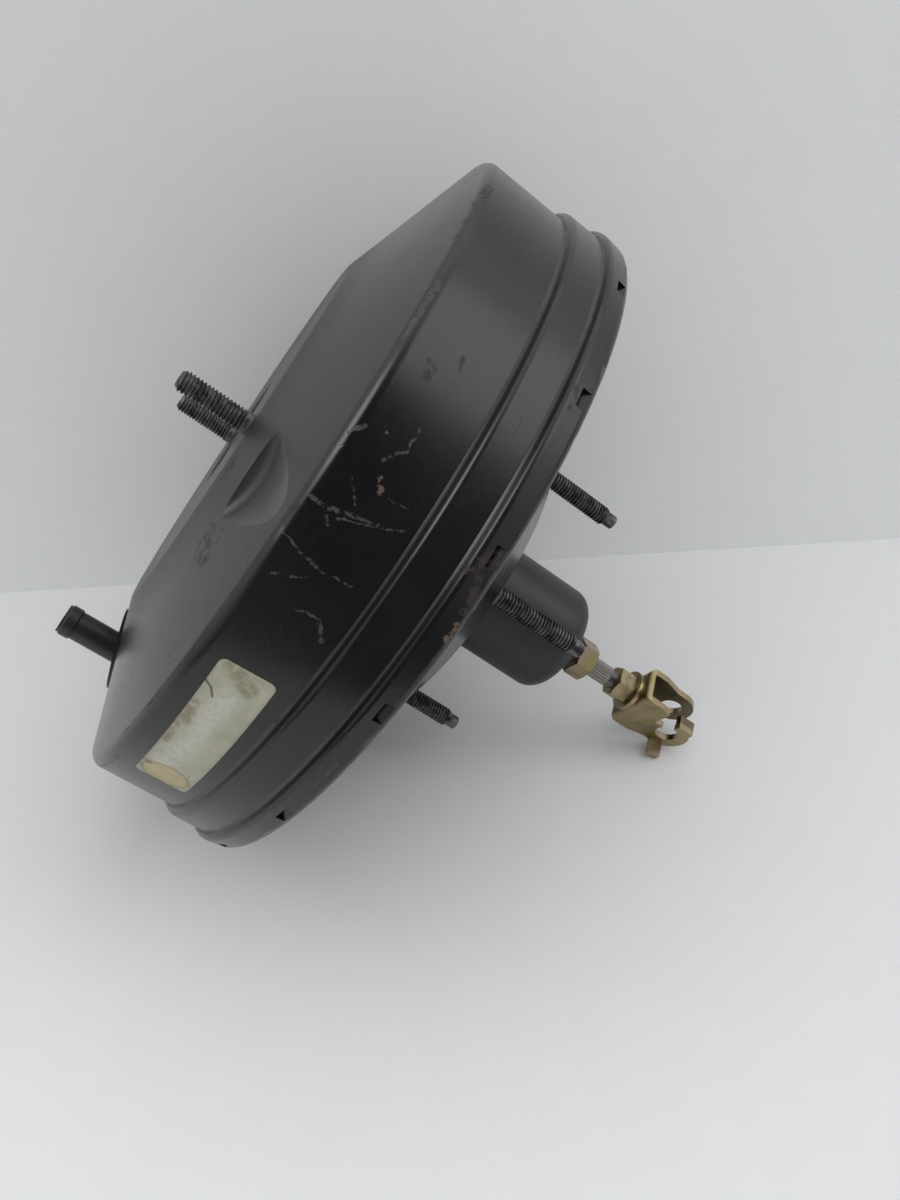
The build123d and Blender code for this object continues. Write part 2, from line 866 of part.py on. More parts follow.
def clevis():
    side = extrude(Plane.XZ * ear_outline(), 2 * ear_face, both=True)
    yoke = clevis_strip() & side
    yoke = yoke - hook_cut() - tab_trim() + hook_tab() + foot_tab()
    pin_hole = Pos(pin_place, 0, 0) * Rot(90, 0, 0) * Cylinder(pin_bore, 4 * ear_face)
    rod_hole = bar(clevis_base, rod_end, rod_radius + thread_clearance)
    return yoke - pin_hole - rod_hole


pieces = [
    front_shell, rear_shell, front_plate, rear_plate, front_studs, rear_studs,
    vacuum_nipple, nipple_flange, seal_retainer, hub_seal, hub_bushing, dust_boot,
    valve_body, stop_key, diaphragm_plate, diaphragm, reaction_disc, output_rod, output_screw,
    rod_retainer, return_spring, valve_plunger, poppet_valve, poppet_retainer, poppet_spring,
    rod_spring, silencer, air_filter, input_rod, adjusting_nut, lock_nut, clevis,
]
os.makedirs("parts", exist_ok=True)
for piece in pieces:
    export_step(piece(), f"parts/{piece.__name__}.step")
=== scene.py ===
# %% [markdown]
# A vacuum brake booster: the big black can between a brake pedal and its master cylinder.
# The solids come in already made, at their real size, so this lesson only dresses them. It gives each
# piece its finish, cuts the threads and the knurl that plain solids lack, gives the springs copies
# that ride on their bodies, lets the diaphragm change shape, and sticks on the paper label.
# The booster's axis is X, with the pedal at +X. Lengths are metres, as everywhere in Blender.

# %% Load the solids
import json
from math import atan2, cos, degrees, pi, radians, sin

import bmesh
import bpy
from mathutils import Matrix, Vector
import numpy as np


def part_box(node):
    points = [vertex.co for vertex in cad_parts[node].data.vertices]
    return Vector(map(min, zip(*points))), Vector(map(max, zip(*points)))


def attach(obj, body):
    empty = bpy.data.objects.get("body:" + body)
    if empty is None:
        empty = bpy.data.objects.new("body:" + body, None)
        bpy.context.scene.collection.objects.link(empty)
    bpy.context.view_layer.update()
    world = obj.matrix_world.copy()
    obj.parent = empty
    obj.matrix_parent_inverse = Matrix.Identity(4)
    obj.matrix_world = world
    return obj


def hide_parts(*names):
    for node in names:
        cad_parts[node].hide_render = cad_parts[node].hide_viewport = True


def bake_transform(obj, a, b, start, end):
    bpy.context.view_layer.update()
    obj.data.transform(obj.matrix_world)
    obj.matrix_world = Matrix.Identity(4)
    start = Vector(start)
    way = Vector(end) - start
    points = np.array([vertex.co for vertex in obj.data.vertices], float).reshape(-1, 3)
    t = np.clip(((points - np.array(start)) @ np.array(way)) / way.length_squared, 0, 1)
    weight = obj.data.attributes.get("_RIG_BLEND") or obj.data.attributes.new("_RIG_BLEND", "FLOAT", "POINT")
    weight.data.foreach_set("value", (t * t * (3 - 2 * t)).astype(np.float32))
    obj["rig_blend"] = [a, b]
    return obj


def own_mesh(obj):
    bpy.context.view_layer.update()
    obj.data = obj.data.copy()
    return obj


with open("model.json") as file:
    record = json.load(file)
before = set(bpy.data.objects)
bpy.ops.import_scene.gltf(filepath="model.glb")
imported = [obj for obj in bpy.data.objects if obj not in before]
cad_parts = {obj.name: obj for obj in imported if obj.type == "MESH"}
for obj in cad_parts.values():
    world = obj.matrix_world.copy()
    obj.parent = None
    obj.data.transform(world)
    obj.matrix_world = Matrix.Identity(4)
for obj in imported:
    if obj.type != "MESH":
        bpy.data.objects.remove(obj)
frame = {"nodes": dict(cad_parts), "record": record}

MM = 0.001
nodes = frame["nodes"]
mounts = {mount["name"]: mount for mount in frame["record"]["mounts"]}
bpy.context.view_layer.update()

# %% [markdown]
# A material is a graph of nodes, and most of its nodes only do sums. Wiring each sum by hand hides the
# idea, so a small class wraps a socket: arithmetic on it adds the Math nodes, and one method adds any
# other node. The same class serves the shader trees and the geometry trees.

# %% Sums on sockets
def plug(socket, value):
    """Links a wire to a socket, or sets the socket's own value."""
    if isinstance(value, Wire):
        socket.id_data.links.new(value.socket, socket)
    else:
        socket.default_value = value


class Wire:
    """One output socket of a node tree."""

    def __init__(self, socket):
        self.socket = socket

    def node(self, kind, settings=None, sockets=None, output=0):
        """Adds a node: its settings first, then its sockets' values or links. Gives one of its outputs."""
        made = self.socket.id_data.nodes.new(kind)
        for name, value in (settings or {}).items():
            setattr(made, name, value)
        for key, value in (sockets or {}).items():
            plug(made.inputs[key], value)
        return Wire(made.outputs[output])

    def sum_of(self, operation, first, second=0.0):
        """A Math node on one or two numbers."""
        return self.node("ShaderNodeMath", {"operation": operation}, {0: first, 1: second})

    def __add__(self, other):
        return self.sum_of("ADD", self, other)

    def __radd__(self, other):
        return self.sum_of("ADD", other, self)

    def __sub__(self, other):
        return self.sum_of("SUBTRACT", self, other)

    def __rsub__(self, other):
        return self.sum_of("SUBTRACT", other, self)

    def __mul__(self, other):
        return self.sum_of("MULTIPLY", self, other)

    def __rmul__(self, other):
        return self.sum_of("MULTIPLY", other, self)

    def __truediv__(self, other):
        return self.sum_of("DIVIDE", self, other)

    def __pow__(self, other):
        return self.sum_of("POWER", self, other)

    def __abs__(self):
        return self.sum_of("ABSOLUTE", self)

    def rise(self, low, high):
        """0 below low, 1 above high, and a smooth step between them."""
        steps = {"interpolation_type": "SMOOTHSTEP"}
        return self.node("ShaderNodeMapRange", steps, {0: self, 1: low, 2: high})

    def band(self, low, high, soft):
        """1 between low and high, fading over soft at each end."""
        return self.rise(low - soft, low + soft) * (1 - self.rise(high - soft, high + soft))

    def noise(self, scale, detail=3.0, roughness=0.55, distortion=0.0):
        """Cloudy noise from 0 to 1, read at a place."""
        sockets = {"Vector": self, "Scale": scale, "Detail": detail,
                   "Roughness": roughness, "Distortion": distortion}
        return self.node("ShaderNodeTexNoise", None, sockets)

    def cells(self, scale):
        """Distance to the nearest of many scattered points, read at a place."""
        return self.node("ShaderNodeTexVoronoi", None, {"Vector": self, "Scale": scale})

    def stretched(self, factors):
        """The place, scaled along each axis, to draw a pattern out."""
        return self.vector("MULTIPLY", factors)

    def axes(self):
        """The three numbers of a place."""
        split = self.node("ShaderNodeSeparateXYZ", None, {0: self}).socket.node
        return [Wire(output) for output in split.outputs]

    def vector(self, operation, other, output=0):
        """A sum of two places, or of a place and a direction."""
        return self.node("ShaderNodeVectorMath", {"operation": operation}, {0: self, 1: other}, output)

    def near(self, centre, radius):
        """1 at a centre, fading to 0 at a radius from it."""
        return 1 - self.vector("DISTANCE", centre, 1).rise(0.0, radius)

    def near_line(self, start, end, width):
        """1 along a straight line between two places, fading to 0 at a width from it."""
        line = Vector(end) - Vector(start)
        share = self.vector("SUBTRACT", start).vector("DOT_PRODUCT", line / line.length_squared, 1)
        share = share.node("ShaderNodeClamp", None, {0: share})
        foot = share.node("ShaderNodeVectorMath", {"operation": "SCALE"}, {0: line, "Scale": share})
        return 1 - foot.vector("ADD", start).vector("DISTANCE", self, 1).rise(0.0, width)


def most(*wires):
    """The largest of several numbers."""
    result = wires[0]
    for wire in wires[1:]:
        result = result.sum_of("MAXIMUM", result, wire)
    return result


def tinted(factor, first, second):
    """From the first colour to the second as the factor goes from 0 to 1."""
    mix = {"data_type": "RGBA", "clamp_factor": True}
    return factor.node("ShaderNodeMix", mix, {0: factor, 6: first, 7: second}, 2)


def rgb(red, green, blue):
    """A colour as a socket takes it."""
    return (red, green, blue, 1.0)


print("wires ready")

# %% [markdown]
# The camera stands close, above the booster and a little in front of it, looking down at the wall of the
# can. A close camera makes the near parts large, so both its place and its lens matter. It could be aimed
# with a constraint, but the roll of the picture matters too, so its directions to the right and upwards
# are written along the booster's own axes.

# %% Camera
IMAGE_HEIGHT_PIXELS = 1200
FOCAL_PIXELS = 981
SENSOR_HEIGHT_MM = 36.0
camera_place = Vector((-115.9, -260.8, 307.7)) * MM
camera_right = Vector((0.800, 0.2759, 0.5322)).normalized()
camera_up = Vector((-0.525, 0.7506, 0.4007)).normalized()
camera_back = camera_right.cross(camera_up).normalized()
camera_up = camera_back.cross(camera_right)

camera_data = bpy.data.cameras.new("camera")
camera_data.sensor_fit = "VERTICAL"
camera_data.sensor_height = SENSOR_HEIGHT_MM
camera_data.sensor_width = SENSOR_HEIGHT_MM
camera_data.lens = FOCAL_PIXELS / IMAGE_HEIGHT_PIXELS * SENSOR_HEIGHT_MM
camera_data.clip_start = 0.01
camera = bpy.data.objects.new("camera", camera_data)
turn = Matrix((camera_right, camera_up, camera_back)).transposed().to_4x4()
camera.matrix_world = Matrix.Translation(camera_place) @ turn
bpy.context.scene.collection.objects.link(camera)
bpy.context.scene.camera = camera
print("camera", round(camera_data.lens, 1), "mm lens,", round(camera_place.length, 3), "m from the origin")

# %% [markdown]
# The booster lies on a pale table, tipped so that it rests on its rim and on the pedal fork, and its rim
# leans against a pale backdrop. The table is found from the first two: it touches the rim's circle, and
# it is lowered at the fork until no corner of a solid is below it. The backdrop then stands upright on
# the table, at the rim's farthest point. Both are clear from behind, so that they never hide the booster.

# %% Table and backdrop
ROLL_DEGREES = 71.2          # which part of the rim is lowest, about the booster's axis
BACKDROP_DEGREES = 2.0       # how far the backdrop is turned from square to the camera
BACKDROP_HEIGHT = 0.45
TABLE_EDGE = 0.12            # how far the table reaches past the point under the camera
SET_WIDTH = 6.0
RIM_EDGE = -30 * MM          # where the rim that touches the table is, along the axis
_, rim_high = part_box("front_shell")
rim_radius = rim_high.z
up_turn = radians(ROLL_DEGREES)
outward = Vector((0, cos(up_turn), sin(up_turn)))


def lean_for(corner):
    """How far the table can lean before it meets a corner, once it touches the rim."""
    return atan2(rim_radius + corner.dot(outward), corner.x - RIM_EDGE)


lean = min(lean_for(vert.co)
           for name in ("clevis", "rear_studs", "dust_boot")
           for vert in nodes[name].data.vertices)
floor_up = (outward * cos(lean) - Vector((1, 0, 0)) * sin(lean)).normalized()
floor_touch = Vector((RIM_EDGE, 0, 0)) - outward * rim_radius
to_camera = (camera_back - floor_up * camera_back.dot(floor_up)).normalized()
to_side = floor_up.cross(to_camera)
backdrop_out = to_camera * cos(radians(BACKDROP_DEGREES)) + to_side * sin(radians(BACKDROP_DEGREES))
backdrop_along = floor_up.cross(backdrop_out)
rim_back = min((v.co for v in nodes["front_shell"].data.vertices), key=lambda spot: spot.dot(backdrop_out))
backdrop_foot = rim_back - floor_up * (rim_back - floor_touch).dot(floor_up)
table_depth = (camera_place - backdrop_foot).dot(backdrop_out) + TABLE_EDGE


def set_sheet(name, middle, along, upward):
    """A flat sheet of the set: the middle of one side, half of that side, and the way to the far side."""
    mesh = bpy.data.meshes.new(name)
    corners = [middle - along, middle + along, middle + along + upward, middle - along + upward]
    mesh.from_pydata(corners, [], [(0, 1, 2, 3)])
    sheet = bpy.data.objects.new(name, mesh)
    bpy.context.scene.collection.objects.link(sheet)
    return sheet


half_width = backdrop_along * (SET_WIDTH / 2)
table = set_sheet("table", backdrop_foot, -half_width, backdrop_out * table_depth)
backdrop = set_sheet("backdrop", backdrop_foot, half_width, floor_up * BACKDROP_HEIGHT)
print("table leans", round(degrees(lean), 1), "degrees and is", round(table_depth, 2), "m deep")

# %% [markdown]
# The light is plain and soft: a pale sky that is brightest overhead, and one window to the side. Glossy
# black paint is nearly all reflection, so two things are added that only reflections show. It is dark
# round the camera and below the table's edge, which gives the can its black belly. A small lamp overhead
# draws the thin bright line on the bend between the can's front and its wall.

# %% Pale finish and studio light
SHEET_TINTS = (rgb(0.77, 0.78, 0.78), rgb(0.80, 0.81, 0.81))
PALE = rgb(0.73, 0.74, 0.74)
HORIZON = rgb(0.60, 0.61, 0.62)
OVERHEAD = rgb(1.12, 1.12, 1.13)
DARK = rgb(0.05, 0.05, 0.053)
WINDOW = rgb(2.2, 2.2, 2.25)
WINDOW_TURN = radians(82)    # from the camera's side of the table
WINDOW_HEIGHT = radians(40)
LAMP = rgb(4.6, 4.6, 4.7)    # seen in reflections only
LAMP_TURN = radians(-65)
LAMP_HEIGHT = radians(62)


def pale_finish():
    """Matte pale sheet with a faint grain, clear from behind."""
    material = bpy.data.materials.new("pale_sheet")
    material.use_nodes = True
    tree = material.node_tree
    shader = tree.nodes["Principled BSDF"]
    place = Wire(tree.nodes.new("ShaderNodeTexCoord").outputs["Object"])
    grain = place.noise(60.0, 4.0)
    plug(shader.inputs["Base Color"], tinted(grain, *SHEET_TINTS))
    shader.inputs["Roughness"].default_value = 0.75
    behind = Wire(tree.nodes.new("ShaderNodeNewGeometry").outputs["Backfacing"])
    plug(shader.inputs["Alpha"], 1 - behind)
    return material


def sky_way(turn, height):
    """A direction in the sky, from its turn about the table's upright and its height."""
    level = to_camera * cos(turn) + to_side * sin(turn)
    return level * cos(height) + floor_up * sin(height)


def studio_world():
    """Sky, window, lamp, and the dark round the camera."""
    world = bpy.data.worlds.new("studio")
    world.use_nodes = True
    tree = world.node_tree
    background = tree.nodes["Background"]
    heading = Wire(tree.nodes.new("ShaderNodeTexCoord").outputs["Generated"])
    window = sky_way(WINDOW_TURN, WINDOW_HEIGHT)
    lamp = sky_way(LAMP_TURN, LAMP_HEIGHT)
    ways = (floor_up, camera_back, window, lamp)
    height, behind, aside, above = [heading.vector("DOT_PRODUCT", way, 1) for way in ways]
    sky = tinted(height.rise(0.0, 0.9), HORIZON, OVERHEAD)
    rays = tree.nodes.new("ShaderNodeLightPath").outputs
    glossy = Wire(rays["Is Glossy Ray"])
    dark = most(behind.rise(0.6, 0.82), 1 - height.rise(-0.12, 0.0)) * glossy
    seen = tinted(aside.rise(0.925, 0.975), tinted(dark, sky, DARK), WINDOW)
    seen = tinted(above.rise(0.93, 0.985) * glossy, seen, LAMP)
    plug(background.inputs["Color"], tinted(Wire(rays["Is Camera Ray"]), seen, PALE))
    return world


pale = pale_finish()
table.data.materials.append(pale)
backdrop.data.materials.append(pale)
bpy.context.scene.world = studio_world()
bpy.context.scene.view_settings.view_transform = "Standard"
print("studio ready")

# %% [markdown]
# The can is deep-drawn steel under thin black paint, and it has had a life: dust lies in the pressed
# grooves, the paint is scuffed where tools slid along the wall, and rust has started where the sheet was
# bent most. Light is painted in too: the scoops are a paler grey, for their dust and as a painted
# reflection of the sky, and the joggles' bottoms and the rear lip are given a darker reflection. One
# material holds it all, because each mark is a mask worked out from the place along the axis, the
# distance from it and the angle about it.

# %% A start for each finish
def new_finish(name):
    """A material, its shader's sockets, and the place of each point."""
    material = bpy.data.materials.new(name)
    material.use_nodes = True
    tree = material.node_tree
    place = Wire(tree.nodes.new("ShaderNodeTexCoord").outputs["Object"])
    return material, tree.nodes["Principled BSDF"].inputs, place


def bumped(height, distance, strength=1.0):
    """A normal that follows a height, whose full range is a distance."""
    sockets = {"Height": height, "Distance": distance, "Strength": strength}
    return height.node("ShaderNodeBump", None, sockets)


def about_axis(place):
    """Place along the axis, distance from it, and angle about it in degrees from -180 to 180."""
    x, y, z = place.axes()
    radius = (y * y + z * z) ** 0.5
    return x, radius, place.sum_of("ARCTAN2", z, y) * (180 / pi)


print("helpers for finishes ready")

# %% Black paint of the can
WALL_RADIUS = 137 * MM
JOGGLES = (-54.3 * MM, -40.0 * MM)
FRONT_BEND = (-87.5 * MM, -83 * MM)
REAR_BEND = (-31 * MM, -28 * MM)
SCOOP = (-98 * MM, -70 * MM, 69 * MM)
SCOOP_REACH = 26 * MM
RUST_SPOTS = (((-102 * MM, -64 * MM, 56 * MM), 13 * MM), ((-98 * MM, -88 * MM, 52 * MM), 15 * MM))
CLEAN_PAINT = rgb(0.0043, 0.0045, 0.0054)
DUSTY_PAINT = rgb(0.0135, 0.014, 0.0148)
# the scoops' paler grey: dust, and a painted reflection of the sky
SCOOP_DUST_AND_SHEEN = rgb(0.05, 0.05, 0.049)
GROOVE_DIRT = rgb(0.085, 0.072, 0.053)
SCUFF = rgb(0.055, 0.056, 0.055)
RUST = rgb(0.045, 0.028, 0.019)
BARE_CHIP = rgb(0.12, 0.072, 0.045)
# each mark runs from one place on the wall to another, both in degrees about the axis and mm along it,
# and the last number is how far it spreads to each side, in mm
SCRATCHES = (
    (132, -84, 132, -79, 1.3), (132, -79, 131, -71, 1.9), (131, -71, 130.5, -64, 1.2),
    (132.5, -75, 129.5, -57, 0.8), (127.5, -78, 130, -73, 1.0), (127.5, -69, 127, -58, 0.7),
    (137, -86, 138, -78, 0.7), (138, -78, 138.5, -70, 0.9), (138.5, -70, 138, -61, 0.9),
    (142, -82, 140, -72, 0.7), (144, -70, 143.5, -63, 0.9), (143.5, -63, 146, -58, 1.2),
    (123.5, -85, 121.5, -82, 1.5), (124, -73, 121.5, -69, 1.1), (121.5, -69, 118.5, -69, 0.8),
    (101, -85, 110, -86, 1.6), (110, -46, 113, -45.5, 0.8), (109, -34, 112, -34.5, 1.2),
    (158, -33, 163, -33.5, 1.0), (133, -77.5, 133.5, -76, 1.4),
)
RUST_MARKS = (
    (77, -85, 88, -85.5, 3.0), (88, -85.5, 94, -86, 2.2), (94, -86, 95, -80, 1.8),
    (95, -80, 96.5, -73, 1.0), (108, -68.5, 109.5, -68, 1.5), (111, -75.5, 113, -75, 3.0),
    (103, -36, 106, -35, 2.4), (126, -33, 129, -37, 4.0), (129, -33, 133, -31.5, 3.0),
)
CHIPS = ((126, -71, 127, -69.5, 2.2), (135, -31, 137, -31, 1.8), (120.5, -77.5, 121, -76.5, 1.4))


def wall_place(turn, along):
    """A place on the wall as it would lie unrolled, in mm."""
    return Vector((radians(turn) * WALL_RADIUS / MM, along, 0.0))


def wall_marks(unrolled, marks):
    """1 along each of the marks, fading to its sides."""
    lines = [(wall_place(*mark[0:2]), wall_place(*mark[2:4]), mark[4]) for mark in marks]
    return most(*[unrolled.near_line(*line) for line in lines])


def shell_paint():
    """Glossy black paint with dust, scuffs, chips and rust; paler scoops and darker joggles are painted
    light.
    """
    material, sockets, place = new_finish("shell_paint")
    x, radius, angle = about_axis(place)
    # noise that breaks up the marks
    cloud = place.noise(14.0, 5.0, 0.6)
    speck = place.noise(420.0, 3.0, 0.6)
    blot = place.noise(150.0, 4.0, 0.65)
    drawn = place.stretched((1.0, 0.03, 0.03)).noise(650.0, 3.0)
    # marks on the wall, as it would lie unrolled
    outside = radius.rise(131 * MM, 133 * MM)
    around = angle * (radians(1) * WALL_RADIUS / MM)
    unrolled = place.node("ShaderNodeCombineXYZ", None, {0: around, 1: x / MM})
    waver = place.node("ShaderNodeTexNoise", None, {"Vector": place, "Scale": 260.0, "Detail": 3.0}, 1)
    unrolled = unrolled.vector("ADD", waver.vector("SUBTRACT", (0.5, 0.5, 0.5)).stretched((2.4, 2.4, 0.0)))
    grit = place.noise(700.0, 4.0, 0.7)
    ragged = (grit * 5 + blot * 2 - 2.6) * outside
    scratches = (wall_marks(unrolled, SCRATCHES) * ragged).rise(0.45, 1.1)
    chips = (wall_marks(unrolled, CHIPS) * ragged).rise(0.4, 0.7)
    spots = [place.near(centre, reach) for centre, reach in RUST_SPOTS]
    rust = most(wall_marks(unrolled, RUST_MARKS) * outside, *spots)
    rust = (rust * (grit * 3 + blot * 4 - 2.9)).rise(0.2, 0.8)
    # dust, dirt and wear, each in its own place, and the places where light is painted
    dusty = most(1 - angle.rise(84, 108), angle.rise(140, 165))
    grooves = most(*[x.band(spot - 0.3 * MM, spot + 0.7 * MM, 0.5 * MM) for spot in JOGGLES])
    grooves = grooves * outside * dusty * blot.rise(0.3, 0.6)
    # the rear lip holds dirt, and its reflection is painted darker
    rear_lip = x.rise(-29.4 * MM, -28.2 * MM) * radius.rise(136 * MM, 138 * MM)
    dirt = most(grooves, rear_lip * cloud.rise(0.4, 0.7))
    # painted shade: the bottom of each joggle, whose reflection is made darker
    joggle_dark_reflection = most(*[x.band(spot + 0.7 * MM, spot + 1.8 * MM, 0.25 * MM) for spot in JOGGLES]) * outside
    flat = 1 - x.rise(-106 * MM, -98 * MM)
    both = [(SCOOP[0], side * SCOOP[1], side * SCOOP[2]) for side in (1, -1)]
    scoops = most(*[place.near(centre, SCOOP_REACH) for centre in both])
    film = cloud.rise(0.35, 0.75) * 0.5 + speck.rise(0.5, 0.8) * 0.25 + flat * 0.2
    bends = most(x.band(*FRONT_BEND, 1.5 * MM) * outside, x.band(*REAR_BEND, 1 * MM) * outside)
    nicks = bends * place.noise(240.0, 4.0, 0.6).rise(0.64, 0.7)
    # colours, each over the one before
    colour = tinted(film, CLEAN_PAINT, DUSTY_PAINT)
    # dust and a painted reflection: the scoops turn a paler grey
    colour = tinted(scoops * 0.8, colour, SCOOP_DUST_AND_SHEEN)
    colour = tinted(dirt * 0.8, colour, GROOVE_DIRT)
    colour = tinted(most(scratches * 0.75, nicks * 0.5), colour, SCUFF)
    colour = tinted(rust * 0.6, colour, RUST)
    colour = tinted(chips * 0.8, colour, BARE_CHIP)
    plug(sockets["Base Color"], colour)
    # painted shade: where this dark paint counts as metal its reflection darkens, on joggle bottoms and rear
    # lip
    plug(sockets["Metallic"], most(joggle_dark_reflection, rear_lip) * 0.85)
    marked = most(dirt, rust, scratches, chips, scoops * 0.8)
    plug(sockets["Roughness"], 0.19 + film * 0.13 + flat * 0.12 + drawn * 0.06 + marked * 0.4)
    height = cloud * 0.4 + speck * 0.06 + drawn * 0.08 - most(scratches, nicks, chips) * 0.1 + dirt * 0.1
    plug(sockets["Normal"], bumped(height, 0.35 * MM, 0.6))
    return material


print("can paint ready")

# %% [markdown]
# The other metals differ in how they are plated. The studs have a black phosphate coat, which is dull
# and wears bright on the crests of the thread, where a painted glint makes them paler still. The nuts and
# the fork are yellow zinc, whose thin film shifts from gold to olive and rose, with painted shade in the
# fork's gap. Rods, springs and plates are plain steel with a little oil. One function makes all the
# bright ones, because only their tints and their roughness differ.

# %% Metals
FORK_FLOOR = 104 * MM        # where the pedal fork's gap starts
FORK_HALF_GAP = 6.05 * MM


def phosphate():
    """Dull black coat of the studs; the thread's crests wear to steel and are painted paler as a glint."""
    material, sockets, place = new_finish("stud_black")
    crest = Wire(material.node_tree.nodes.new("ShaderNodeAttribute").outputs["Fac"])
    crest.socket.node.attribute_name = "crest"
    blotch = place.noise(260.0, 4.0)
    # the crests wear to steel, and are painted paler as a glint
    wear_and_glint = crest.rise(0.75, 1.0) * blotch.rise(0.36, 0.62)
    plug(sockets["Base Color"], tinted(wear_and_glint * 0.7, rgb(0.011, 0.011, 0.013), rgb(0.25, 0.25, 0.255)))
    plug(sockets["Roughness"], 0.42 + blotch * 0.2 - wear_and_glint * 0.12)
    plug(sockets["Metallic"], 0.25 + wear_and_glint * 0.6)
    plug(sockets["Normal"], bumped(place.noise(2200.0), 0.02 * MM))
    return material


def plated(name, first, second, third, roughness, scale, fork=0.0):
    """A bare or plated metal, its film drifting between three tints, with painted shade in a fork's gap."""
    material, sockets, place = new_finish(name)
    x, y, _ = place.axes()
    between_ears = 1 - abs(y).rise(FORK_HALF_GAP, FORK_HALF_GAP + 0.1 * MM)
    # painted shade between the fork's ears, weighted by the fork setting
    gap = x.rise(FORK_FLOOR, FORK_FLOOR + 1 * MM) * between_ears * fork
    drift = place.noise(scale, 4.0, 0.6, 0.4)
    patch = place.stretched((1.3, 0.8, 1.1)).noise(scale * 1.7, 3.0)
    grain = place.noise(1800.0, 3.0)
    grime = place.noise(scale * 0.8, 5.0, 0.65).rise(0.52, 0.72)
    colour = tinted(drift.rise(0.35, 0.65), first, second)
    colour = tinted(patch.rise(0.5, 0.7), colour, third)
    # grime, and the painted shade in the fork's gap, both darken towards this brown
    plug(sockets["Base Color"], tinted(most(grime * 0.5, gap), colour, rgb(0.06, 0.05, 0.035)))
    plug(sockets["Roughness"], roughness + drift * 0.14 + grime * 0.22)
    plug(sockets["Metallic"], 1.0 - grime * 0.5)
    plug(sockets["Normal"], bumped(grain + drift * 2.0, 0.03 * MM, 0.7))
    return material


def painted(name, colour, dusty, roughness, wear_scale):
    """Satin black paint over steel, with a dusty film and a few rubbed specks."""
    material, sockets, place = new_finish(name)
    film = place.noise(30.0, 5.0, 0.6).rise(0.35, 0.75)
    speck = place.noise(wear_scale, 3.0)
    drawn = place.stretched((0.05, 1.0, 1.0)).noise(500.0, 2.0)
    rubbed = speck.rise(0.72, 0.8)
    tint = tinted(film * 0.7, colour, dusty)
    plug(sockets["Base Color"], tinted(rubbed * 0.6, tint, rgb(0.14, 0.13, 0.12)))
    plug(sockets["Roughness"], roughness + film * 0.14 + rubbed * 0.2)
    plug(sockets["Normal"], bumped(film + speck * 0.3 + drawn * 0.3, 0.1 * MM, 0.5))
    return material


print("metals ready")

# %% [markdown]
# Inside there is rubber, moulded resin, foam and felt. Little of it shows at rest, only what the round
# hole in the front lets through, yet each has its own grain, so that the parts can be told apart when
# the booster is taken to pieces.

# %% Soft and moulded finishes
def moulded(name, colour, fleck, roughness, scale, depth):
    """Rubber or resin: an even colour with flecks and a fine moulded skin."""
    material, sockets, place = new_finish(name)
    cloud = place.noise(scale * 0.1, 4.0)
    skin = place.noise(scale, 3.0, 0.6)
    plug(sockets["Base Color"], tinted(cloud.rise(0.35, 0.7), colour, fleck))
    plug(sockets["Roughness"], roughness + skin * 0.16 - cloud * 0.06)
    plug(sockets["Normal"], bumped(skin + cloud, depth))
    return material


def porous(name, colour, shade, scale, depth):
    """Foam or felt: open cells, with painted shade in their hollows."""
    material, sockets, place = new_finish(name)
    pores = place.cells(scale)
    fibre = place.stretched((1.0, 3.0, 0.4)).noise(scale * 1.5, 4.0, 0.7)
    hollow = pores.rise(0.25, 0.7)
    # painted shade in the hollows, and darker fibres
    plug(sockets["Base Color"], tinted(hollow * 0.5 + fibre * 0.4, colour, shade))
    plug(sockets["Roughness"], 0.8 + fibre * 0.15)
    plug(sockets["Normal"], bumped(fibre - hollow, depth))
    return material


print("soft finishes ready")

# %% [markdown]
# Most finishes are one of four kinds, and differ only in their settings. Each row below names a finish as
# the record does, and gives what its kind asks for: its tints first, then how rough and how coarse it is.

# %% Every finish by name
METALS = (
    ("bare_steel", rgb(0.46, 0.46, 0.46), rgb(0.38, 0.38, 0.39), rgb(0.5, 0.47, 0.42), 0.3, 40.0),
    ("rod_steel", rgb(0.30, 0.29, 0.27), rgb(0.22, 0.21, 0.19), rgb(0.33, 0.28, 0.2), 0.32, 110.0),
    ("spring_steel", rgb(0.16, 0.16, 0.17), rgb(0.11, 0.11, 0.12), rgb(0.2, 0.18, 0.15), 0.3, 90.0),
    ("yellow_zinc", rgb(0.37, 0.29, 0.19), rgb(0.31, 0.285, 0.11), rgb(0.44, 0.295, 0.23),
     0.23, 110.0, 0.65),
)
PAINTS = (
    ("nipple_black", rgb(0.012, 0.012, 0.013), rgb(0.03, 0.03, 0.029), 0.34, 300.0),
    ("boot_black", rgb(0.009, 0.0095, 0.0115), rgb(0.028, 0.029, 0.031), 0.4, 220.0),
)
MOULDINGS = (
    ("seal_rubber", rgb(0.014, 0.014, 0.015), rgb(0.026, 0.026, 0.025), 0.5, 900.0, 0.05 * MM),
    ("guide_plastic", rgb(0.55, 0.52, 0.44), rgb(0.47, 0.44, 0.36), 0.4, 700.0, 0.03 * MM),
    ("piston_plastic", rgb(0.035, 0.02, 0.013), rgb(0.06, 0.036, 0.022), 0.36, 600.0, 0.04 * MM),
)
FILTERS = (
    ("filter_foam", rgb(0.11, 0.11, 0.12), rgb(0.02, 0.02, 0.02), 1400.0, 0.3 * MM),
    ("filter_felt", rgb(0.42, 0.40, 0.36), rgb(0.18, 0.17, 0.15), 2200.0, 0.3 * MM),
)
finishes = {"shell_paint": shell_paint(), "stud_black": phosphate()}
for make, rows in ((plated, METALS), (painted, PAINTS), (moulded, MOULDINGS), (porous, FILTERS)):
    for name, *settings in rows:
        finishes[name] = make(name, *settings)
print(len(finishes), "finishes")

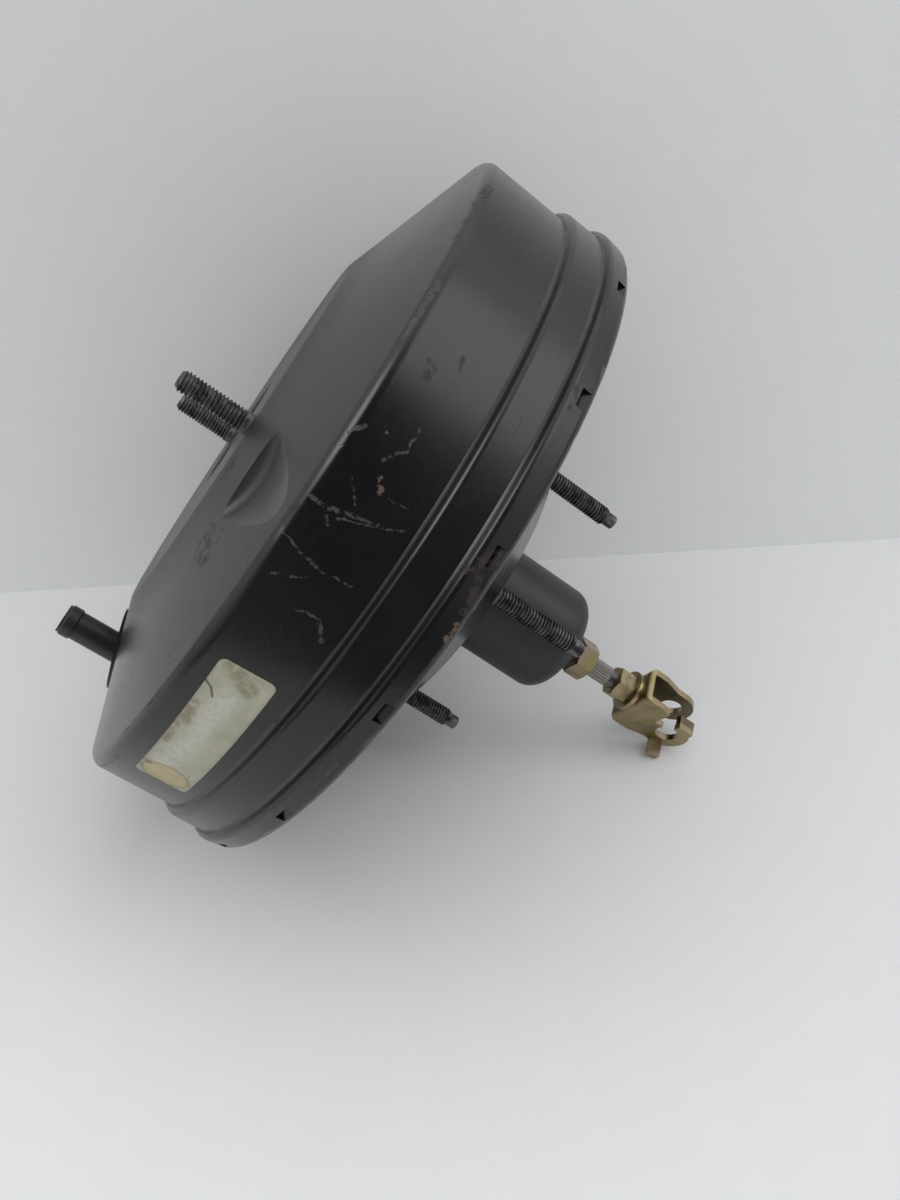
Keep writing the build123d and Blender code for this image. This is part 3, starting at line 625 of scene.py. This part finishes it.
# %% [markdown]
# Each solid keeps its mesh and takes the finish that the record names for it. This could be done by hand
# in the material list of each, but a loop over the record misses none.

# %% Dress the solids
for part in frame["record"]["subparts"]:
    slots = nodes[part["node"]].data.materials
    slots.clear()
    slots.append(finishes[part["material_slot"]])

# %% [markdown]
# A stud is a turned blank with a thread rolled on it, and the same stud stands in several places. That is
# a rule, so Geometry Nodes cut it: the tree takes the blank, presses a helical groove into its side where
# the thread runs, and puts a copy on each place. A knurl is the same idea with straight grooves.

# %% A turned blank
def rows_between(profile, step):
    """The profile's points, with more between them where a run along the axis is longer than a step."""
    rows = [profile[0]]
    for (x0, r0), (x1, r1) in zip(profile, profile[1:]):
        count = max(1, round(abs(x1 - x0) / step))
        rows += [(x0 + (x1 - x0) * i / count, r0 + (r1 - r0) * i / count) for i in range(1, count + 1)]
    return rows


def turned_blank(name, rows, columns):
    """A mesh spun about X from rows of (place, radius) in metres, closed at both ends."""
    shape = bmesh.new()
    rings = []
    for x, radius in rows:
        count = columns if radius > 0 else 1
        angles = [2 * pi * i / columns for i in range(count)]
        rings.append([shape.verts.new((x, radius * cos(a), radius * sin(a))) for a in angles])
    for first, second in zip(rings, rings[1:]):
        for i in range(columns):
            j = (i + 1) % columns
            corners = [first[i % len(first)], first[j % len(first)],
                       second[j % len(second)], second[i % len(second)]]
            shape.faces.new(list(dict.fromkeys(corners)))
    bmesh.ops.recalc_face_normals(shape, faces=shape.faces)
    for face in shape.faces:
        face.smooth = True
    mesh = bpy.data.meshes.new(name)
    shape.to_mesh(mesh)
    shape.free()
    return bpy.data.objects.new(name, mesh)


print("turned blanks ready")

# %% The tree that cuts threads and knurls
THREAD_INPUTS = (
    ("Blank", "NodeSocketObject"), ("Pitch", "NodeSocketFloat"), ("Depth", "NodeSocketFloat"),
    ("Start", "NodeSocketFloat"), ("End", "NodeSocketFloat"), ("Core", "NodeSocketFloat"),
    ("Knurl Start", "NodeSocketFloat"), ("Knurl End", "NodeSocketFloat"),
    ("Knurl Depth", "NodeSocketFloat"), ("Knurl Teeth", "NodeSocketFloat"),
    ("Finish", "NodeSocketMaterial"),
)
GROOVE_FLANKS = (0.12, 0.9)  # of the way from crest to root, where a flank starts and ends
KNURL_FADE = 0.1 * MM


def thread_tree():
    """Presses a thread and a knurl into a blank, and puts a copy on each place."""
    tree = bpy.data.node_groups.new("threads_and_knurls", "GeometryNodeTree")
    tree.interface.new_socket("Places", in_out="INPUT", socket_type="NodeSocketGeometry")
    for name, kind in THREAD_INPUTS:
        tree.interface.new_socket(name, in_out="INPUT", socket_type=kind)
    tree.interface.new_socket("Geometry", in_out="OUTPUT", socket_type="NodeSocketGeometry")
    given = {s.name: Wire(s) for s in tree.nodes.new("NodeGroupInput").outputs if s.name}
    blank = given["Blank"].node("GeometryNodeObjectInfo", {"transform_space": "ORIGINAL"},
                                {"Object": given["Blank"]}, "Geometry")
    place = blank.node("GeometryNodeInputPosition")
    x, y, z = place.axes()
    radius = (y * y + z * z) ** 0.5
    turns = place.sum_of("ARCTAN2", z, y) * (0.5 / pi)
    outside = radius.rise(given["Core"], given["Core"] + 0.05 * MM)
    along_helix = x / given["Pitch"] - turns
    wave = abs(along_helix.sum_of("FRACT", along_helix) - 0.5) * 2
    run_out = given["Pitch"] * 0.5
    on_knurl = x.rise(given["Knurl Start"] - KNURL_FADE, given["Knurl Start"])
    on_knurl = on_knurl * (1 - x.rise(given["Knurl End"], given["Knurl End"] + KNURL_FADE)) * outside
    on_thread = x.rise(given["Start"] - run_out, given["Start"] + run_out)
    on_thread = on_thread * (1 - x.rise(given["End"] - run_out, given["End"] + run_out)) * outside
    groove = wave.rise(*GROOVE_FLANKS) * on_thread * (1 - on_knurl)
    teeth = turns * given["Knurl Teeth"]
    tooth = abs(teeth.sum_of("FRACT", teeth) - 0.5) * 2
    cut = groove * given["Depth"] + tooth * on_knurl * given["Knurl Depth"]
    share = cut / (radius + 0.001 * MM)
    inward = place.node("ShaderNodeCombineXYZ", None, {1: y * share * -1, 2: z * share * -1})
    pressed = blank.node("GeometryNodeSetPosition", None, {"Geometry": blank, "Offset": inward})
    crest = 1 - most(groove, tooth * on_knurl)
    marked = blank.node("GeometryNodeStoreNamedAttribute", {"data_type": "FLOAT", "domain": "POINT"},
                        {"Geometry": pressed, "Name": "crest", "Value": crest})
    copies = blank.node("GeometryNodeInstanceOnPoints", None,
                        {"Points": given["Places"], "Instance": marked})
    real = blank.node("GeometryNodeRealizeInstances", None, {"Geometry": copies})
    done = blank.node("GeometryNodeSetMaterial", None, {"Geometry": real, "Material": given["Finish"]})
    result = tree.nodes.new("NodeGroupOutput")
    tree.links.new(done.socket, result.inputs["Geometry"])
    return tree


def run_tree(name, tree, places, settings):
    """Runs a tree on places and keeps the result as a plain mesh."""
    mesh = bpy.data.meshes.new(name)
    mesh.from_pydata([tuple(place) for place in places], [], [])
    piece = bpy.data.objects.new(name, mesh)
    bpy.context.scene.collection.objects.link(piece)
    modifier = piece.modifiers.new(name, "NODES")
    modifier.node_group = tree
    sockets = {item.name: item.identifier for item in tree.interface.items_tree if item.in_out == "INPUT"}
    for key, value in settings.items():
        modifier[sockets[key]] = value
    seen = piece.evaluated_get(bpy.context.evaluated_depsgraph_get())
    made = bpy.data.meshes.new_from_object(seen)
    piece.modifiers.remove(modifier)
    piece.data = made
    print(name, len(made.polygons), "faces")
    return piece


threads = thread_tree()
print("thread tree with", len(threads.nodes), "nodes")

# %% Studs
THREAD_PITCH = 1.41 * MM
THREAD_DEPTH = 0.72 * MM
THREAD_SKIN = 0.4 * MM       # only points this near the surface are pressed in
THREAD_STEP = THREAD_PITCH / 10
PAST_TIP = 2 * MM            # the thread runs on past a tip, so that it doesn't fade there
FRONT_PLAIN = 2.5 * MM       # from a front stud's shoulder to its thread
REAR_PLAIN = 3.0 * MM
POINT_RADIUS = 3.0 * MM      # of a stud's plain end
DOG_LENGTH = 4.5 * MM        # of that end on a rear stud
FRONT_TAPER = 1.5 * MM       # from the end of the full width to a front stud's tip
REAR_TAPER = 5.5 * MM        # the same on a rear stud, with its plain end
REAR_THREAD_END = 4.2 * MM   # from a rear stud's tip
# a stud has no knurl, so that one is put a metre away and has no depth
NO_KNURL = {"Knurl Start": 1.0, "Knurl End": 2.0, "Knurl Depth": 0.0, "Knurl Teeth": 1.0}
STUD_COLUMNS = 36
stud_radius = mounts["firewall_studs"]["dims"]["stud_r_mm"] * MM
head_radius = 6.5 * MM
shoulder_radius = 4.4 * MM
head_height = 3.0 * MM
grip = 4.1 * MM
spacing_y = mounts["firewall_studs"]["dims"]["spacing_x_mm"] * MM
spacing_z = mounts["firewall_studs"]["dims"]["spacing_y_mm"] * MM
front_low, front_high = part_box("front_studs")
_, rear_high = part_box("rear_studs")
front_face = front_high.x - grip - head_height
front_corner = (front_high - front_low) / 2 - Vector((0, head_radius, head_radius))


def stud_profile(reach, point):
    """A stud from the head inside the can to the tip; point is the rows of its end, past the thread."""
    return [(-grip - head_height, 0), (-grip - head_height, head_radius), (-grip, head_radius),
            (-grip, shoulder_radius), (0, shoulder_radius), (0, stud_radius), (reach, stud_radius)] + point


def make_studs(node, places, profile, side, thread):
    """Studs that point to +X or -X by their side; thread is where the thread starts and ends."""
    rows = rows_between([(x * side, radius) for x, radius in profile], THREAD_STEP)
    blank = turned_blank(node + "_blank", rows, STUD_COLUMNS)
    start, end = sorted(x * side for x in thread)
    piece = run_tree(node + "_threaded", threads, places, {
        "Blank": blank, "Pitch": THREAD_PITCH, "Depth": THREAD_DEPTH, "Start": start, "End": end,
        "Core": stud_radius - THREAD_SKIN, "Finish": finishes["stud_black"], **NO_KNURL})
    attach(piece, "housing")
    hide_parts(node)


front_reach = front_face - front_low.x
front_end = [(front_reach - 0.5 * MM, POINT_RADIUS), (front_reach, 2.7 * MM), (front_reach, 0)]
rear_reach = rear_high.x
rear_end = [(rear_reach - DOG_LENGTH, POINT_RADIUS), (rear_reach - 0.4 * MM, POINT_RADIUS),
            (rear_reach, 2.6 * MM), (rear_reach, 0)]
front_places = [Vector((front_face, side * -front_corner.y, side * front_corner.z)) for side in (1, -1)]
rear_places = [Vector((0, a * spacing_y / 2, b * spacing_z / 2)) for a in (-1, 1) for b in (-1, 1)]
make_studs("front_studs", front_places, stud_profile(front_reach - FRONT_TAPER, front_end), -1,
           (FRONT_PLAIN, front_reach + PAST_TIP))
make_studs("rear_studs", rear_places, stud_profile(rear_reach - REAR_TAPER, rear_end), 1,
           (REAR_PLAIN, rear_reach - REAR_THREAD_END))

# %% [markdown]
# The pedal rod ends in a ball inside the valve, and carries a thread for its nuts and a straight knurl to
# turn it by. It is one turned blank too: only the stretches that show a thread need close rows.

# %% Pedal rod
KNURL_TEETH = 24
KNURL_LENGTH = 12 * MM
KNURL_DEPTH = 0.5 * MM
KNURL_EDGE = 0.3 * MM        # bevel at each end of the knurl
KNURL_STEP = 0.5 * MM
ROD_PITCH = 1.25 * MM
ROD_THREAD_DEPTH = 0.6 * MM
ROD_THREAD_START = 59 * MM
ROD_CLOSE_ROWS = 58 * MM     # where the close rows start, just before the thread
ROD_TIP_EDGE = 0.6 * MM
INTO_NUT = 1 * MM            # close rows go on this far inside a nut
COLLAR_START = 40 * MM
COLLAR_END = 42 * MM
ROD_COLUMNS = 144
rod_low, rod_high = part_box("input_rod")
nut_low, nut_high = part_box("adjusting_nut")
lock_low, lock_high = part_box("lock_nut")
rod_radius = 4.0 * MM
knurl_radius = 4.6 * MM
ball_radius = 5.0 * MM
ball_place = rod_low.x + ball_radius
neck_radius = 3.2 * MM
knurl_start = nut_high.x
knurl_end = knurl_start + KNURL_LENGTH
collar_radius = rod_high.z


def threaded(start, end):
    """Close rows along a stretch of the rod."""
    return rows_between([(start, rod_radius), (end, rod_radius)], THREAD_STEP)


def rod_rows():
    """Ball, neck, shank with its collar, knurl and threaded end."""
    ball = [radians(180 - 10 * i) for i in range(15)]
    rows = [(ball_place + ball_radius * cos(a), ball_radius * sin(a)) for a in ball]
    rows[0] = (rows[0][0], 0)
    rows += [(ball_place + 2 * ball_radius, neck_radius), (ball_place + 2 * ball_radius, rod_radius)]
    rows += [(COLLAR_START, rod_radius), (COLLAR_START, collar_radius)]
    rows += [(COLLAR_END, collar_radius), (COLLAR_END, rod_radius)]
    rows += threaded(ROD_CLOSE_ROWS, nut_low.x + INTO_NUT)
    rows += [(knurl_start, rod_radius), (knurl_start, knurl_radius - KNURL_EDGE)]
    knurl = [(knurl_start + KNURL_EDGE, knurl_radius), (knurl_end - KNURL_EDGE, knurl_radius)]
    rows += rows_between(knurl, KNURL_STEP)
    rows += [(knurl_end, knurl_radius - KNURL_EDGE), (knurl_end, rod_radius)]
    rows += threaded(knurl_end + KNURL_FADE, lock_low.x + INTO_NUT)
    rows += threaded(lock_high.x, rod_high.x - ROD_TIP_EDGE)
    return rows + [(rod_high.x, rod_radius - ROD_TIP_EDGE), (rod_high.x, 0)]


rod_blank = turned_blank("rod_blank", rod_rows(), ROD_COLUMNS)
rod = run_tree("input_rod_cut", threads, [(0, 0, 0)], {
    "Blank": rod_blank, "Pitch": ROD_PITCH, "Depth": ROD_THREAD_DEPTH, "Start": ROD_THREAD_START,
    "End": rod_high.x + PAST_TIP, "Core": rod_radius - THREAD_SKIN, "Knurl Start": knurl_start,
    "Knurl End": knurl_end, "Knurl Depth": KNURL_DEPTH, "Knurl Teeth": float(KNURL_TEETH),
    "Finish": finishes["rod_steel"]})
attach(rod, "input_rod")
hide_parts("input_rod")

# %% [markdown]
# Two springs are pressed as the booster works. Each is a copy of its solid that stands for it and rides
# on a body; the rod's spring is made shorter by the room left at the rod's collar.

# %% Springs
PISTON_TRAVEL = 32 * MM
VALVE_TRAVEL = 1.6 * MM
COLLAR_ROOM = 0.6 * MM       # left at the rod's collar, so that the rod can tilt
CREASE = radians(35)


def soft_copy(name, node, slot):
    """A merged copy of a solid's mesh that stands for it."""
    shape = bmesh.new()
    shape.from_mesh(nodes[node].data)
    bmesh.ops.remove_doubles(shape, verts=shape.verts, dist=0.001 * MM)
    mesh = bpy.data.meshes.new(name)
    shape.to_mesh(mesh)
    shape.free()
    mesh.shade_smooth()
    mesh.set_sharp_from_angle(angle=CREASE)
    mesh.materials.clear()
    mesh.materials.append(finishes[slot])
    copy = bpy.data.objects.new(name, mesh)
    bpy.context.scene.collection.objects.link(copy)
    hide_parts(node)
    return copy


def spring(name, node, body, travel, room=0.0):
    """A spring that rides on a body, shortened towards its front end by the room it leaves."""
    low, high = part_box(node)
    length = high.x - low.x - room
    copy = soft_copy(name, node, "spring_steel")
    for vert in copy.data.vertices:
        vert.co.x = low.x + (vert.co.x - low.x) * length / (length + room)
    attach(copy, body)
    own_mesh(copy)
    print(name, round(length / MM, 1), "mm long, pressed by", round(travel / MM, 1))


spring("return_coil", "return_spring", "housing", PISTON_TRAVEL)
spring("rod_coil", "rod_spring", "power_piston", VALVE_TRAVEL, COLLAR_ROOM)

# %% [markdown]
# The rubber diaphragm is clamped in the housing all round and carried by the piston inside, so a point of
# its fold follows both, in shares that change from the plate's rim to the clamped bead. The shares are
# first laid along one line, and then written anew by distance from the axis, because the fold is a ring.

# %% Rolling diaphragm
RIM_PLACE = -42 * MM         # where the rubber leaves the plate's rim
FOLD_PLACE = -53 * MM        # where it turns over
FOLD_INNER = 122 * MM
FOLD_OUTER = 133.5 * MM
LIP_SHARE = 0.25             # of the way from the rim to the bead, along the rim's lip


def between(value, low, high):
    """How far a value is on its way from low to high, from 0 to 1."""
    return min(1.0, max(0.0, (value - low) / (high - low)))


def housing_share(spot):
    """How much a point of the rubber stays with the housing: 0 on the plate, 1 at the clamped bead."""
    radius = (spot.y ** 2 + spot.z ** 2) ** 0.5
    past_rim = between(radius, FOLD_INNER - 3 * MM, FOLD_INNER - 2 * MM)
    down_lip = between(-spot.x, -RIM_PLACE, -FOLD_PLACE)
    along_lip = max(down_lip, between(radius, FOLD_INNER, FOLD_INNER + 2 * MM))
    across_fold = between(radius, FOLD_INNER, FOLD_OUTER)
    return past_rim * (LIP_SHARE * along_lip + (1 - LIP_SHARE) * across_fold)


rubber = soft_copy("diaphragm_rubber", "diaphragm", "seal_rubber")
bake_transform(rubber, "power_piston", "housing", start=(0, FOLD_INNER, 0), end=(0, FOLD_OUTER, 0))
shares = rubber.data.attributes["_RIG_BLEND"].data
for vert, share in zip(rubber.data.vertices, shares):
    share.value = housing_share(vert.co)
print("diaphragm", len(shares), "points, from the plate to the bead")

# %% [markdown]
# A paper label is stuck round the wall. It is bare here: only aged paper, brown at its edges, rubbed and
# scratched. It could be a mask in the paint, but then it would have no edge. So it is a thin sheet bent
# to the wall, with round corners, and its own UV map carries the stains so that they follow the paper.

# %% Paper label
LABEL_TURN = radians(169.4)
LABEL_PLACE = -68.5 * MM
LABEL_LENGTH = 72.4 * MM
LABEL_WIDTH = 18.6 * MM
LABEL_TILT = radians(1.6)
LABEL_CORNER = 2.2 * MM
LABEL_THICKNESS = 0.12 * MM
LABEL_COLUMNS = 60
LABEL_ROWS = 24


def label_point(across, onward):
    """A point of the label on the wall, from its place on the flat paper."""
    lengthwise = across * cos(LABEL_TILT) - onward * sin(LABEL_TILT)
    sideways = across * sin(LABEL_TILT) + onward * cos(LABEL_TILT)
    turn = LABEL_TURN + lengthwise / WALL_RADIUS
    radius = WALL_RADIUS + LABEL_THICKNESS / 2
    return Vector((LABEL_PLACE + sideways, radius * cos(turn), radius * sin(turn)))


def label_inset(onward):
    """How far the round corners shorten the paper at a distance from its long middle line."""
    into_corner = min(LABEL_CORNER, max(0.0, abs(onward) - (LABEL_WIDTH / 2 - LABEL_CORNER)))
    return LABEL_CORNER - (LABEL_CORNER ** 2 - into_corner ** 2) ** 0.5


def paper_label():
    """The sheet on the wall, with its flat millimetres as a UV map."""
    shape = bmesh.new()
    uv = shape.loops.layers.uv.new("paper")
    spots = {}
    for row in range(LABEL_ROWS + 1):
        onward = LABEL_WIDTH * (0.5 - 0.5 * cos(pi * row / LABEL_ROWS)) - LABEL_WIDTH / 2
        half = LABEL_LENGTH / 2 - label_inset(onward)
        for column in range(LABEL_COLUMNS + 1):
            across = half * (2 * column / LABEL_COLUMNS - 1)
            vert = shape.verts.new(label_point(across, onward))
            spots[row, column] = vert, (across / MM, onward / MM)
    for row in range(LABEL_ROWS):
        for column in range(LABEL_COLUMNS):
            corners = [spots[row + i, column + j] for i, j in ((0, 0), (0, 1), (1, 1), (1, 0))]
            face = shape.faces.new([vert for vert, _ in corners])
            face.smooth = True
            for loop, (_, flat) in zip(face.loops, corners):
                loop[uv].uv = flat
    shape.normal_update()
    first = next(iter(shape.faces))
    if first.normal.dot(first.calc_center_median() * Vector((0, 1, 1))) < 0:
        bmesh.ops.reverse_faces(shape, faces=shape.faces)
    mesh = bpy.data.meshes.new("paper_label")
    shape.to_mesh(mesh)
    shape.free()
    label = bpy.data.objects.new("paper_label", mesh)
    bpy.context.scene.collection.objects.link(label)
    thickness = label.modifiers.new("thickness", "SOLIDIFY")
    thickness.thickness = LABEL_THICKNESS
    thickness.offset = 0.0
    return label


label = paper_label()
print("label", len(label.data.polygons), "faces")

# %% Aged paper
# each mark runs from one place on the flat label to another, and the last number is how far it spreads
# to each side, all in mm
RUBBED_MARKS = ((-24, -0.5, 27, -3, 7),)
BROWN_MARKS = ((-35, -5, -30, 3, 5), (-16, -8.5, -7, -7, 4), (-4, -9, 6, -8.5, 3.5))
SLIT_MARKS = ((-26.2, -9.3, -24.5, -6.6, 0.65), (-24.5, -6.6, -21.5, -4.7, 0.65))
HAIR_MARKS = ((24, -7, 26.5, 4, 0.3), (19, 5.5, 31, 8, 0.3))
OVAL_MIDDLE = (28.8, 0.0, 0.0)
CREAM = rgb(0.40, 0.385, 0.30)
OLIVE = rgb(0.31, 0.32, 0.225)
RUBBED_PAPER = rgb(0.58, 0.56, 0.53)
YELLOWED = rgb(0.42, 0.335, 0.165)
BROWN = rgb(0.17, 0.115, 0.06)
DARK_BROWN = rgb(0.07, 0.05, 0.03)


def paper_marks(flat, marks):
    """1 along each of the marks, fading to its sides."""
    lines = [((x0, y0, 0.0), (x1, y1, 0.0), width) for x0, y0, x1, y1, width in marks]
    return most(*[flat.near_line(*line) for line in lines])


def aged_paper():
    """Cream paper with a brown edge, a rubbed middle and a yellowed oval at one end."""
    material, sockets, place = new_finish("aged_paper")
    flat = place.node("ShaderNodeUVMap", {"uv_map": "paper"})
    across, onward, _ = flat.axes()
    cloud = flat.noise(0.09, 5.0, 0.65)
    mottle = flat.noise(0.32, 5.0, 0.7)
    fibre = flat.stretched((0.4, 1.0, 1.0)).noise(2.2, 4.0, 0.7)
    rubbed = paper_marks(flat, RUBBED_MARKS) * mottle.rise(0.22, 0.66)
    brown = most(paper_marks(flat, BROWN_MARKS), flat.near((25.0, -8.0, 0.0), 4.0))
    edge = most(abs(across).rise(LABEL_LENGTH / MM / 2 - 4, LABEL_LENGTH / MM / 2),
                abs(onward).rise(LABEL_WIDTH / MM / 2 - 1.6, LABEL_WIDTH / MM / 2))
    stain = most(brown.rise(0.05, 0.8), edge * 0.5, cloud.rise(0.6, 0.8) * 0.4) * mottle.rise(0.3, 0.58)
    from_middle = flat.vector("SUBTRACT", OVAL_MIDDLE).stretched((0.48, 0.42, 0.0))
    oval = from_middle.vector("LENGTH", (0, 0, 0), 1)
    yellow = 1 - oval.rise(3.2, 3.8)
    ring = oval.band(3.3, 3.7, 0.25) * mottle.rise(0.35, 0.5)
    slit = paper_marks(flat, SLIT_MARKS)
    hairs = paper_marks(flat, HAIR_MARKS)
    colour = tinted(cloud.rise(0.3, 0.7), CREAM, OLIVE)
    colour = tinted(rubbed * 0.6, colour, RUBBED_PAPER)
    colour = tinted(yellow * 0.8, colour, YELLOWED)
    colour = tinted(stain * 0.6, colour, BROWN)
    colour = tinted(most(ring * 0.6, hairs * 0.5, slit), colour, DARK_BROWN)
    plug(sockets["Base Color"], colour)
    plug(sockets["Roughness"], 0.4 + fibre * 0.18 + stain * 0.15 - rubbed * 0.08)
    plug(sockets["Normal"], bumped(fibre + cloud, 0.05 * MM, 0.6))
    return material


paper = aged_paper()
label.data.materials.append(paper)
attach(label, "housing")
print("paper with", len(paper.node_tree.nodes), "nodes")
